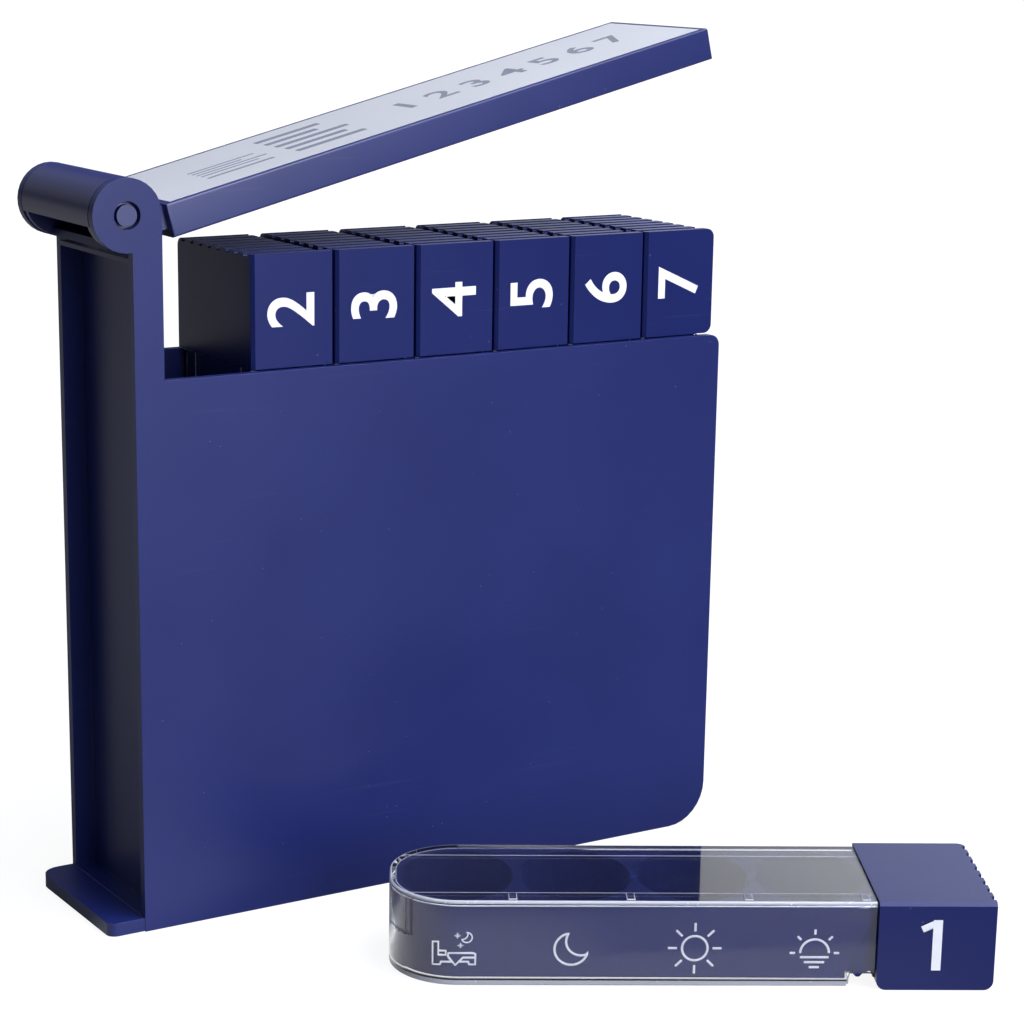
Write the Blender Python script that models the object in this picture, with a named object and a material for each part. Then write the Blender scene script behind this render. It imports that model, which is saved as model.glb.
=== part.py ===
# Weekly pill organizer: an upright case with a hinged lid and seven day trays.
# Each tray has a ridged grip cap, four oval pockets and a clear cover that slides
# along it. Six trays stand in the case and Monday's lies on the table in front.
# Metres, +Z up. The origin is the middle of the case's underside.
import math

import bmesh
import bpy
from mathutils import Matrix, Vector

mm = 0.001
day_names = ("monday", "tuesday", "wednesday", "thursday", "friday", "saturday", "sunday")

# Clearances and the overrun that every cut and every buried joint uses
seat_gap = 0.3 * mm
hinge_gap = 0.45 * mm
overrun = 1.0 * mm
weld_distance = 0.01 * mm

# Case: two panels joined by a floor, a left web, a shelf and a right wall
panel_wall = 2.1 * mm
panel_bottom_round = 10.0 * mm
panel_top_round = 2.5 * mm
pillar_width = 6.6 * mm
case_right_wall = 1.3 * mm
floor_thickness = 3.2 * mm
web_thickness = 1.7 * mm
web_inset = 0.3 * mm
shelf_thickness = 1.0 * mm
foot_reach = 8.2 * mm
foot_inset = 0.15 * mm
foot_front_round = 2.0 * mm
foot_back_round = 4.5 * mm

# Ears at the tops of the two pillars, which carry the lid
ear_radius = 7.6 * mm
ear_over_shelf = 1.3 * mm

# Day module: cap, tray body and cover, lying with the pockets up
module_pitch = 20.0 * mm
module_thickness = 19.0 * mm
module_length = 124.2 * mm
module_over_floor = 16.3 * mm
first_slot_gap = 0.9 * mm
cap_length = 24.2 * mm
cap_depth = 36.0 * mm
cap_rest = 0.4 * mm
cap_front_chamfer = 0.7 * mm
cap_corner_round = 2.0 * mm
cap_back_round = 1.8 * mm
ridge_count = 8
ridge_margin = 2.95 * mm
ridge_groove = 1.9 * mm
ridge_depth = 0.7 * mm

# Clear cover: a sleeve, closed and rounded at its far end
cover_wall = 1.2 * mm
cover_setback = 1.0 * mm
cover_step = 0.3 * mm
cover_end_round = 14.5 * mm
cover_edge = 0.5 * mm
notch_length = 6.2 * mm
notch_height = 3.2 * mm

# Pockets in the tray body, one for each time of day, and the walls round them
pocket_count = 4
pocket_side_wall = 0.8 * mm
pocket_cap_wall = 0.3 * mm
pocket_end_wall = 1.0 * mm
pocket_rib = 1.2 * mm
pocket_floor = 1.7 * mm
pocket_fillet = 4.0 * mm
tooth_start = 2.2 * mm
tooth_length = 2.8 * mm
tooth_height = 1.2 * mm
tooth_inset = 0.1 * mm
tooth_slope_share = 0.8

# Lid: a shallow channel whose hollow barrel turns between the ears
lid_angle = math.radians(14.2)
lid_over_caps = 2.1 * mm
lid_ear_gap = 1.3 * mm
lid_end_inset = 1.4 * mm
lid_side_inset = 0.5 * mm
lid_top = -0.3 * mm
lid_depth = 7.1 * mm
lid_plate = 1.7 * mm
lid_skirt = 0.9 * mm
lid_edge = 0.5 * mm
lid_neck_height = 5.3 * mm
barrel_wall = 1.6 * mm
barrel_lip_angle = math.radians(182.6)
barrel_under_angle = math.radians(-40.0)
trunnion_radius = 2.45 * mm
trunnion_recess = 0.2 * mm
label_thickness = 0.4 * mm
label_margin = 1.5 * mm
label_fit = 0.3 * mm

# Where Monday's module lies: its cap's end from the case's left, and its gap to the front
monday_right = 136.9 * mm
monday_gap = 21.9 * mm
monday_turn = math.radians(-30.3)

# Sizes that follow from those above
tray_setback = cover_setback + cover_wall + seat_gap
tray_bottom = cover_step + cover_wall + seat_gap
tray_top = module_thickness - tray_bottom
tray_end = module_length - cover_wall - seat_gap
end_round = min(cover_end_round, cap_depth / 2 - tray_setback)
tray_end_round = end_round - cover_wall - seat_gap
last_slot = first_slot_gap + (len(day_names) - 1) * module_pitch
modules_right = pillar_width + last_slot + module_thickness - cover_step
case_width = modules_right + seat_gap + case_right_wall
case_depth = cap_depth + 2 * (panel_wall - cap_rest)
cap_front = (case_depth - cap_depth) / 2
panel_height = floor_thickness + module_over_floor + module_length - cap_length - seat_gap
cap_top = panel_height + seat_gap + cap_length
hinge_x = pillar_width - ear_radius
hinge_height = cap_top + lid_over_caps + lid_depth - lid_top
shelf_top = hinge_height - ear_radius - ear_over_shelf
barrel_half = case_depth / 2 - panel_wall - seat_gap
ear_hole_radius = trunnion_radius + hinge_gap
lid_near = ear_radius + lid_ear_gap
lid_far = case_width - hinge_x - lid_end_inset
label_recess = label_thickness + seat_gap
ridge_pitch = (cap_depth - 2 * ridge_margin) / (ridge_count - 1)
pocket_walls = pocket_cap_wall + (pocket_count - 1) * pocket_rib + pocket_end_wall
pocket_half_length = (tray_end - cap_length - pocket_walls) / (2 * pocket_count)
pocket_half_width = cap_depth / 2 - tray_setback - pocket_side_wall
pocket_pitch = 2 * pocket_half_length + pocket_rib
first_pocket = cap_length + pocket_cap_wall + pocket_half_length
monday_reach = cap_depth * math.cos(monday_turn) - module_length * math.sin(monday_turn)
monday_front = monday_gap + monday_reach
arc_step = math.radians(11.25)
sharp_angle = math.radians(30)


def clear_scene():
    for item in list(bpy.data.objects):
        bpy.data.objects.remove(item, do_unlink=True)


def new_collection(name):
    group = bpy.data.collections.new(name)
    bpy.context.scene.collection.children.link(group)
    return group


def plastic(name, colour, roughness, alpha=1.0):
    made = bpy.data.materials.new(name)
    made.use_nodes = True
    shader = made.node_tree.nodes["Principled BSDF"]
    shader.inputs["Base Color"].default_value = (*colour, 1.0)
    shader.inputs["Roughness"].default_value = roughness
    shader.inputs["Metallic"].default_value = 0.0
    shader.inputs["Alpha"].default_value = alpha
    return made


def object_from(bm, name, group):
    mesh = bpy.data.meshes.new(name)
    bm.to_mesh(mesh)
    bm.free()
    made = bpy.data.objects.new(name, mesh)
    group.objects.link(made)
    return made


def block(low, high):
    """A box as a bmesh, from its lowest to its highest corner."""
    bm = bmesh.new()
    low, high = Vector(low), Vector(high)
    place = Matrix.Translation((low + high) / 2) @ Matrix.Diagonal((*(high - low), 1.0))
    bmesh.ops.create_cube(bm, size=1.0, matrix=place)
    return bm


def edges_along(bm, axis, keep=lambda middle: True):
    """The edges that run along one axis and whose middles pass a test."""
    found = []
    for edge in bm.edges:
        run = (edge.verts[0].co - edge.verts[1].co).normalized()
        middle = (edge.verts[0].co + edge.verts[1].co) / 2
        if abs(run[axis]) > math.cos(arc_step) and keep(middle):
            found.append(edge)
    return found


def round_edges(bm, edges, radius, segments):
    bmesh.ops.bevel(
        bm,
        geom=edges,
        offset=radius,
        offset_type="OFFSET",
        segments=segments,
        profile=0.5,
        affect="EDGES",
        clamp_overlap=True,
    )


def arc(centre, radius, start, end):
    """Points on an arc from the start angle to the end angle, both ends included."""
    steps = max(1, math.ceil(abs(end - start) / arc_step))
    angles = [start + (end - start) * i / steps for i in range(steps + 1)]
    return [(centre[0] + radius * math.cos(a), centre[1] + radius * math.sin(a)) for a in angles]


def plate(name, loops, front, back, group):
    """A flat outline in X and Z, with its holes, as a solid from one depth to another."""
    curve = bpy.data.curves.new(name, "CURVE")
    curve.dimensions = "2D"
    curve.fill_mode = "BOTH"
    curve.extrude = (back - front) / 2
    for loop in loops:
        spline = curve.splines.new("POLY")
        spline.points.add(len(loop) - 1)
        for point, (x, z) in zip(spline.points, loop):
            point.co = (x, z, 0.0, 1.0)
        spline.use_cyclic_u = True
    drawn = bpy.data.objects.new(name + "_outline", curve)
    group.objects.link(drawn)
    drawn.location = (0.0, (front + back) / 2, 0.0)
    drawn.rotation_euler = (math.pi / 2, 0.0, 0.0)
    bpy.context.view_layer.update()
    view = bpy.context.evaluated_depsgraph_get()
    bm = bmesh.new()
    bm.from_mesh(bpy.data.meshes.new_from_object(drawn.evaluated_get(view)))
    bm.transform(drawn.matrix_world)
    bmesh.ops.remove_doubles(bm, verts=bm.verts, dist=weld_distance)
    bmesh.ops.recalc_face_normals(bm, faces=bm.faces)
    bpy.data.objects.remove(drawn, do_unlink=True)
    return object_from(bm, name, group)


def cylinder_y(radius, front, back, centre=(0.0, 0.0), sides=32):
    """A cylinder along Y as a bmesh, centred at an X and a Z."""
    bm = bmesh.new()
    place = Matrix.Translation((centre[0], (front + back) / 2, centre[1]))
    place = place @ Matrix.Rotation(math.pi / 2, 4, "X")
    bmesh.ops.create_cone(
        bm,
        cap_ends=True,
        segments=sides,
        radius1=radius,
        radius2=radius,
        depth=back - front,
        matrix=place,
    )
    return bm


def combine(target, tool, operation):
    tool.hide_render = True
    tool.display_type = "WIRE"
    step = target.modifiers.new(operation.lower() + "_" + tool.name, "BOOLEAN")
    step.operation = operation
    step.solver = "EXACT"
    step.object = tool


def finished_mesh(source, name):
    """The mesh of an object with its modifiers, for copies that share it."""
    bpy.context.view_layer.update()
    view = bpy.context.evaluated_depsgraph_get()
    mesh = bpy.data.meshes.new_from_object(source.evaluated_get(view))
    mesh.name = name
    return mesh


def shade(target):
    target.data.shade_smooth()
    target.data.set_sharp_from_angle(angle=sharp_angle)


def panel_loops(ear_centre):
    """A case panel: body, pillar and ear in one outline, and the hole in the ear."""
    right = case_width
    low, top = panel_bottom_round, panel_top_round
    ear_foot = 2 * math.pi - math.acos(-ear_centre[0] / ear_radius)
    outline = [(0.0, 0.0)]
    outline += arc((right - low, low), low, -math.pi / 2, 0.0)
    outline += arc((right - top, panel_height - top), top, 0.0, math.pi / 2)
    outline += [(pillar_width, panel_height)]
    outline += arc(ear_centre, ear_radius, 0.0, ear_foot)
    hole = arc(ear_centre, ear_hole_radius, 0.0, 2 * math.pi)[:-1]
    return [outline, hole]


def make_case(group, tools, material):
    """One outline through the whole depth, hollowed out between its two panels."""
    case = plate("case", panel_loops((hinge_x, hinge_height)), 0.0, case_depth, group)
    inside = (panel_wall, case_depth - panel_wall)
    over_ears = hinge_height + ear_radius + overrun

    # The trays' space: over the floor, round the corner, up the right wall and over it
    low = panel_bottom_round
    web_right = pillar_width - web_inset
    inner_round = low - case_right_wall
    floor_angle = math.asin((floor_thickness - low) / inner_round)
    wall_top = panel_height - panel_top_round
    space = [(web_right, floor_thickness)]
    space += arc((case_width - low, low), inner_round, floor_angle, 0.0)
    space += [(case_width - case_right_wall, wall_top), (case_width + overrun, wall_top)]
    space += [(case_width + overrun, over_ears), (web_right, over_ears)]
    combine(case, plate("trays_space", [space], *inside, tools), "DIFFERENCE")

    # The channel left of the web, and the room over the shelf where the barrel turns
    channel_low = (-overrun, inside[0], floor_thickness)
    channel = block(channel_low, (web_right - web_thickness, inside[1], shelf_top - shelf_thickness))
    combine(case, object_from(channel, "channel", tools), "DIFFERENCE")
    room_low = (hinge_x - ear_radius - overrun, inside[0], shelf_top)
    room = block(room_low, (web_right + overrun, inside[1], over_ears))
    combine(case, object_from(room, "barrel_room", tools), "DIFFERENCE")

    foot_low = (-foot_reach, foot_inset, foot_inset)
    foot_high = (web_inset + overrun, case_depth - foot_inset, floor_thickness - foot_inset)
    foot = block(foot_low, foot_high)
    middle = case_depth / 2
    round_edges(foot, edges_along(foot, 2, lambda p: p.x < 0 and p.y < middle), foot_front_round, 4)
    round_edges(foot, edges_along(foot, 2, lambda p: p.x < 0 and p.y > middle), foot_back_round, 6)
    combine(case, object_from(foot, "foot", tools), "UNION")
    finish(case, material, (-case_width / 2, -case_depth / 2, 0.0))


def finish(target, material, location, turn=(0.0, 0.0, 0.0)):
    target.location = location
    target.rotation_euler = turn
    if not target.data.materials:
        target.data.materials.append(material)
    for step in target.modifiers:
        tool = step.object
        if tool.parent is None:
            tool.parent = target


def make_lid(group, tools, plastic_navy, plastic_label):
    """The lid is drawn level, with its hinge axis through the origin along Y."""
    half = case_depth / 2 - lid_side_inset
    low = lid_top - lid_depth
    shell = block((lid_near, -half, low), (lid_far, half, lid_top))
    outer = edges_along(shell, 0) + edges_along(shell, 2)
    outer += edges_along(shell, 1, lambda p: p.z > low)
    round_edges(shell, [e for e in outer if e.is_valid], lid_edge, 2)
    lid = object_from(shell, "lid", group)

    hollow_low = (lid_near + lid_skirt, -half + lid_skirt, low - overrun)
    hollow = block(hollow_low, (lid_far - lid_skirt, half - lid_skirt, lid_top - lid_plate))
    combine(lid, object_from(hollow, "lid_hollow", tools), "DIFFERENCE")

    neck_low = (ear_radius - barrel_wall, -barrel_half, lid_top - lid_neck_height)
    neck = block(neck_low, (lid_near + lid_skirt / 2, barrel_half, lid_top - lid_edge))
    combine(lid, object_from(neck, "lid_neck", tools), "UNION")

    inner = ear_radius - barrel_wall
    shell_ring = arc((0.0, 0.0), ear_radius, barrel_under_angle, barrel_lip_angle)
    shell_ring += arc((0.0, 0.0), inner, barrel_lip_angle, barrel_under_angle)
    barrel = plate("barrel", [shell_ring], -barrel_half, barrel_half, tools)
    combine(lid, barrel, "UNION")

    for name, side in (("front", -1.0), ("back", 1.0)):
        near, far = barrel_half - barrel_wall, barrel_half
        ends = sorted((side * near, side * far))
        disc = cylinder_y(ear_radius - web_inset, *ends)
        combine(lid, object_from(disc, name + "_disc", tools), "UNION")
        ends = sorted((side * (near + barrel_wall / 2), side * (case_depth / 2 - trunnion_recess)))
        pin = cylinder_y(trunnion_radius, *ends, sides=24)
        combine(lid, object_from(pin, name + "_trunnion", tools), "UNION")

    edge = label_margin - label_fit
    recess_low = (lid_near + edge, -half + edge, lid_top - label_recess)
    recess = block(recess_low, (lid_far - edge, half - edge, lid_top + overrun))
    combine(lid, object_from(recess, "label_recess", tools), "DIFFERENCE")

    label_low = (lid_near + label_margin, -half + label_margin, lid_top - label_thickness)
    label = block(label_low, (lid_far - label_margin, half - label_margin, lid_top))
    label = object_from(label, "lid_label", group)

    hinge = bpy.data.objects.new("lid_hinge", None)
    group.objects.link(hinge)
    hinge.location = (hinge_x - case_width / 2, 0.0, hinge_height)
    hinge.rotation_euler = (0.0, -lid_angle, 0.0)
    finish(lid, plastic_navy, (0.0, 0.0, 0.0))
    finish(label, plastic_label, (0.0, 0.0, 0.0))
    lid.parent = hinge
    label.parent = hinge


def rounded_box(low, high, end_round, edge, edge_segments=1):
    """A box whose two upright edges at the far end, at -X, are rounded in plan."""
    bm = block(low, high)
    middle = (low[0] + high[0]) / 2
    round_edges(bm, edges_along(bm, 2, lambda p: p.x < middle), end_round, 8)
    if edge:
        rim = [e for e in bm.edges if abs(e.verts[0].co.z - e.verts[1].co.z) < weld_distance]
        rim = [e for e in rim if min(v.co.x for v in e.verts) < high[0] - weld_distance]
        round_edges(bm, rim, edge, edge_segments)
    return bm


def make_tray_mesh(group, tools, name, corner_round):
    """Cap and tray body, lying: the cap's end face is at x = 0, the far end at -X."""
    top = module_thickness
    cap = block((-cap_length, 0.0, 0.0), (0.0, cap_depth, top))
    front_top = edges_along(cap, 0, lambda p: p.y < seat_gap and p.z > top - seat_gap)
    round_edges(cap, front_top, cap_front_chamfer, 1)
    back_end = edges_along(cap, 2, lambda p: p.x > -seat_gap and p.y > cap_depth - seat_gap)
    round_edges(cap, back_end, cap_back_round, 3)
    if corner_round:
        under = edges_along(cap, 1, lambda p: p.z < seat_gap)
        round_edges(cap, under, corner_round, 4)
    draft = object_from(cap, name, group)

    body_low = (-tray_end, tray_setback, tray_bottom)
    body_high = (-cap_length + overrun, cap_depth - tray_setback, tray_top)
    body = rounded_box(body_low, body_high, tray_end_round, 0.0)
    combine(draft, object_from(body, name + "_body", tools), "UNION")

    # A small V of a tooth under the body's front edge, which the cover's notch clears
    tooth_right = -cap_length - tooth_start
    tooth_foot = tray_bottom + tooth_inset
    tooth_low = (tooth_right - tooth_length, cover_setback + seat_gap, tooth_foot)
    tooth = block(tooth_low, (tooth_right, tray_setback + overrun, tooth_foot + tooth_height))
    tip = edges_along(tooth, 1, lambda p: p.z < tooth_foot + seat_gap)
    round_edges(tooth, tip, tooth_height * tooth_slope_share, 1)
    combine(draft, object_from(tooth, name + "_tooth", tools), "UNION")

    for i in range(ridge_count):
        middle = cap_depth / 2 + (i - (ridge_count - 1) / 2) * ridge_pitch
        low = (-ridge_depth, middle - ridge_groove / 2, -overrun)
        groove = block(low, (overrun, middle + ridge_groove / 2, top + overrun))
        combine(draft, object_from(groove, f"{name}_groove_{i}", tools), "DIFFERENCE")

    for i in range(pocket_count):
        bm = bmesh.new()
        floor = tray_bottom + pocket_floor
        height = tray_top + overrun - floor
        bmesh.ops.create_cone(
            bm,
            cap_ends=True,
            segments=28,
            radius1=pocket_half_width,
            radius2=pocket_half_width,
            depth=height,
            matrix=Matrix.Translation((0.0, 0.0, floor + height / 2)),
        )
        foot_ring = [e for e in bm.edges if max(v.co.z for v in e.verts) < floor + weld_distance]
        round_edges(bm, foot_ring, pocket_fillet, 2)
        squeeze = Matrix.Diagonal((pocket_half_length / pocket_half_width, 1.0, 1.0, 1.0))
        place = Matrix.Translation((-first_pocket - i * pocket_pitch, cap_depth / 2, 0.0))
        bm.transform(place @ squeeze)
        combine(draft, object_from(bm, f"{name}_pocket_{i}", tools), "DIFFERENCE")

    mesh = finished_mesh(draft, name)
    bpy.data.objects.remove(draft, do_unlink=True)
    return mesh


def make_cover_mesh(group, tools):
    """The clear sleeve, lying like the tray: open towards the cap, rounded at -X."""
    mouth = -cap_length - seat_gap
    side = cover_setback
    low = (-module_length, side, cover_step)
    high = (mouth, cap_depth - side, module_thickness - cover_step)
    draft = object_from(rounded_box(low, high, end_round, cover_edge), "cover_mesh", group)
    inner_low = tuple(value + cover_wall for value in low)
    inner_high = (mouth + overrun, high[1] - cover_wall, high[2] - cover_wall)
    cavity = rounded_box(inner_low, inner_high, end_round - cover_wall, 0.0)
    combine(draft, object_from(cavity, "cover_cavity", tools), "DIFFERENCE")
    notch_low = (mouth - notch_length, side - overrun, cover_step - overrun)
    notch = block(notch_low, (mouth + overrun, side + cover_wall + seat_gap, notch_height))
    combine(draft, object_from(notch, "cover_notch", tools), "DIFFERENCE")
    mesh = finished_mesh(draft, "cover_mesh")
    bpy.data.objects.remove(draft, do_unlink=True)
    return mesh


def standing_place(slot):
    """Location and turn of a module that stands in a slot, cap up, pockets to -X."""
    left = pillar_width + first_slot_gap + slot * module_pitch - case_width / 2
    location = (left + module_thickness, cap_front - case_depth / 2, cap_top)
    return location, (0.0, -math.pi / 2, 0.0)


def lying_place():
    location = (monday_right - case_width / 2, -monday_front - case_depth / 2, 0.0)
    return location, (0.0, 0.0, monday_turn)


def place_copy(name, mesh, group, material, location, turn):
    made = bpy.data.objects.new(name, mesh)
    group.objects.link(made)
    finish(made, material, location, turn)
    shade(made)


def make_modules(group, tools, plastic_navy, plastic_clear):
    plain = make_tray_mesh(group, tools, "tray_mesh", 0.0)
    rounded = make_tray_mesh(group, tools, "end_tray_mesh", cap_corner_round)
    cover = make_cover_mesh(group, tools)
    for slot, day in enumerate(day_names):
        location, turn = lying_place() if slot == 0 else standing_place(slot)
        mesh = rounded if slot in (0, len(day_names) - 1) else plain
        place_copy("tray_" + day, mesh, group, plastic_navy, location, turn)
        place_copy("cover_" + day, cover, group, plastic_clear, location, turn)


clear_scene()
organizer = new_collection("weekly_pill_organizer")
cutters = new_collection("cutters")
navy = plastic("navy plastic", (0.028, 0.040, 0.170), 0.42)
clear = plastic("clear plastic", (0.80, 0.82, 0.88), 0.08, 0.3)
paper = plastic("pale label", (0.58, 0.61, 0.74), 0.55)
make_case(organizer, cutters, navy)
make_lid(organizer, cutters, navy, paper)
make_modules(organizer, cutters, navy, clear)
for item in list(cutters.objects):
    item.hide_render = True
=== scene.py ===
import math

import bpy
from mathutils import Matrix, Vector


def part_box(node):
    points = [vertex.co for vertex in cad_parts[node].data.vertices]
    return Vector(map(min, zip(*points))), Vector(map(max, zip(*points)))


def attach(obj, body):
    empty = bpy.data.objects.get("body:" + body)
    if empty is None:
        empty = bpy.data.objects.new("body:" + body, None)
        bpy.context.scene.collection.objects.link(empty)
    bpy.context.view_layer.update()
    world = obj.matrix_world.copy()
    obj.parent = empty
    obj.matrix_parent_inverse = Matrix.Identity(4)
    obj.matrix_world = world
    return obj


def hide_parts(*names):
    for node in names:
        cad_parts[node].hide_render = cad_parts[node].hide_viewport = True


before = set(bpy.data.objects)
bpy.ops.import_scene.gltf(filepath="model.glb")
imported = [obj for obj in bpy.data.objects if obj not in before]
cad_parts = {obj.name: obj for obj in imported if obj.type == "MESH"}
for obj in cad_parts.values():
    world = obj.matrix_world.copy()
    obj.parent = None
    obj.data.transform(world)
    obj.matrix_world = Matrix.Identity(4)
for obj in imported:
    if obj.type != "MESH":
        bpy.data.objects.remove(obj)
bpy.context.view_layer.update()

mm = 0.001
dayNames = ["monday", "tuesday", "wednesday", "thursday", "friday", "saturday", "sunday"]


# Small tools for modelling

def settle():
    if bpy.context.mode != "OBJECT":
        bpy.ops.object.mode_set(mode="OBJECT")
    bpy.ops.object.select_all(action="DESELECT")


def takeUp(piece):
    settle()
    bpy.context.view_layer.objects.active = piece
    piece.select_set(True)
    return piece


def applyPlace(piece):
    takeUp(piece)
    bpy.ops.object.transform_apply(location=True, rotation=True, scale=True)
    return piece


def startBlock(name, low, high):
    settle()
    low, high = Vector(low), Vector(high)
    bpy.ops.mesh.primitive_cube_add(size=1.0, location=(low + high) / 2)
    piece = bpy.context.object
    piece.name = name
    piece.scale = high - low
    return applyPlace(piece)


def startDrum(name, radius, height, centre, turn=(0, 0, 0), sides=64):
    settle()
    bpy.ops.mesh.primitive_cylinder_add(
        vertices=sides, radius=radius, depth=height, location=centre, rotation=turn,
    )
    piece = bpy.context.object
    piece.name = name
    return applyPlace(piece)


def selectEdges(piece, test):
    takeUp(piece)
    bpy.ops.object.mode_set(mode="EDIT")
    bpy.ops.mesh.select_mode(type="EDGE")
    bpy.ops.mesh.select_all(action="DESELECT")
    bpy.ops.object.mode_set(mode="OBJECT")
    points = piece.data.vertices
    for edge in piece.data.edges:
        a, b = (points[i].co for i in edge.vertices)
        edge.select = bool(test(a, b))
    bpy.ops.object.mode_set(mode="EDIT")


def selectFaces(piece, test):
    takeUp(piece)
    bpy.ops.object.mode_set(mode="EDIT")
    bpy.ops.mesh.select_mode(type="FACE")
    bpy.ops.mesh.select_all(action="DESELECT")
    bpy.ops.object.mode_set(mode="OBJECT")
    for face in piece.data.polygons:
        face.select = bool(test(face.center, face.normal))
    bpy.ops.object.mode_set(mode="EDIT")


def roundEdges(piece, test, width, segments):
    selectEdges(piece, test)
    bpy.ops.mesh.bevel(offset=width, offset_type="OFFSET", segments=segments, profile=0.5, affect="EDGES")
    bpy.ops.object.mode_set(mode="OBJECT")
    return piece


def useModifier(piece, kind, **values):
    takeUp(piece)
    step = piece.modifiers.new(kind.lower(), kind)
    for name, value in values.items():
        setattr(step, name, value)
    bpy.ops.object.modifier_apply(modifier=step.name)
    return piece


def cutAway(piece, tool):
    useModifier(piece, "BOOLEAN", operation="DIFFERENCE", solver="EXACT", object=tool)
    bpy.data.objects.remove(tool, do_unlink=True)
    return piece


def joinOn(piece, tool):
    useModifier(piece, "BOOLEAN", operation="UNION", solver="EXACT", object=tool)
    bpy.data.objects.remove(tool, do_unlink=True)
    return piece


def cleanMesh(piece, flatAngle=0.5):
    takeUp(piece)
    bpy.ops.object.mode_set(mode="EDIT")
    bpy.ops.mesh.select_all(action="SELECT")
    bpy.ops.mesh.remove_doubles(threshold=0.002 * mm)
    bpy.ops.mesh.dissolve_limited(angle_limit=math.radians(flatAngle))
    bpy.ops.mesh.normals_make_consistent(inside=False)
    bpy.ops.object.mode_set(mode="OBJECT")
    return piece


def softenEdges(piece, width, segments=2, angle=35):
    return useModifier(
        piece, "BEVEL", width=width, segments=segments, limit_method="ANGLE",
        angle_limit=math.radians(angle), use_clamp_overlap=True, miter_outer="MITER_ARC",
    )


def polish(piece, angle=32):
    takeUp(piece)
    bpy.ops.object.shade_smooth_by_angle(angle=math.radians(angle))
    return useModifier(piece, "WEIGHTED_NORMAL", keep_sharp=True, weight=80)


def copyPiece(piece, name, place=None):
    settle()
    made = piece.copy()
    made.data = piece.data.copy()
    made.name = name
    bpy.context.scene.collection.objects.link(made)
    if place is not None:
        made.matrix_world = place
        applyPlace(made)
    return made


def copyNode(node, name):
    made = bpy.data.objects.new(name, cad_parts[node].data.copy())
    bpy.context.scene.collection.objects.link(made)
    made.data.materials.clear()
    return cleanMesh(made)


def dress(piece, material, body):
    if material is not None:
        piece.data.materials.clear()
        piece.data.materials.append(material)
    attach(piece, body)
    return piece


def at(value, target):
    return abs(value - target) < 0.02 * mm


# Materials

def newGroup(name, inputs, outputs):
    group = bpy.data.node_groups.new(name, "ShaderNodeTree")
    for label, value in inputs:
        socket = group.interface.new_socket(name=label, in_out="INPUT", socket_type="NodeSocketFloat")
        socket.default_value = value
    for label in outputs:
        group.interface.new_socket(name=label, in_out="OUTPUT", socket_type="NodeSocketFloat")
    start = group.nodes.new("NodeGroupInput")
    end = group.nodes.new("NodeGroupOutput")
    return group, start, end


def addNode(tree, kind, **values):
    node = tree.nodes.new(kind)
    for name, value in values.items():
        if name in node.inputs:
            node.inputs[name].default_value = value
        else:
            setattr(node, name, value)
    return node


def mathNode(tree, operation, a, b=None):
    node = tree.nodes.new("ShaderNodeMath")
    node.operation = operation
    for socket, value in zip(node.inputs, (a, b)):
        if value is None:
            continue
        if isinstance(value, (int, float)):
            socket.default_value = value
        else:
            tree.links.new(value, socket)
    return node.outputs[0]


def rangeNode(tree, value, fromLow, fromHigh, toLow=0.0, toHigh=1.0):
    node = tree.nodes.new("ShaderNodeMapRange")
    node.clamp = True
    tree.links.new(value, node.inputs["Value"])
    limits = {"From Min": fromLow, "From Max": fromHigh, "To Min": toLow, "To Max": toHigh}
    for label, number in limits.items():
        node.inputs[label].default_value = number
    return node.outputs["Result"]


def objectPlace(tree, turn=(0, 0, 0), scale=(1, 1, 1)):
    place = tree.nodes.new("ShaderNodeTexCoord")
    mapping = tree.nodes.new("ShaderNodeMapping")
    mapping.inputs["Rotation"].default_value = [math.radians(a) for a in turn]
    mapping.inputs["Scale"].default_value = scale
    tree.links.new(place.outputs["Object"], mapping.inputs["Vector"])
    return mapping.outputs["Vector"]


def makeMouldedSkin():
    # The fine orange-peel of moulded plastic and the slow cloudiness of its colour
    group, start, end = newGroup("moulded skin", [("Grain Scale", 2600.0), ("Cloud Scale", 28.0)], ["Height", "Cloud"])
    place = objectPlace(group)
    grain = addNode(group, "ShaderNodeTexNoise", Detail=3.0, Roughness=0.55)
    group.links.new(place, grain.inputs["Vector"])
    group.links.new(start.outputs["Grain Scale"], grain.inputs["Scale"])
    cloud = addNode(group, "ShaderNodeTexNoise", Detail=2.0, Roughness=0.5)
    group.links.new(place, cloud.inputs["Vector"])
    group.links.new(start.outputs["Cloud Scale"], cloud.inputs["Scale"])
    group.links.new(grain.outputs["Fac"], end.inputs["Height"])
    slow = rangeNode(group, cloud.outputs["Fac"], 0.2, 0.8)
    slow.node.interpolation_type = "SMOOTHSTEP"
    group.links.new(slow, end.inputs["Cloud"])
    return group


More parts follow.
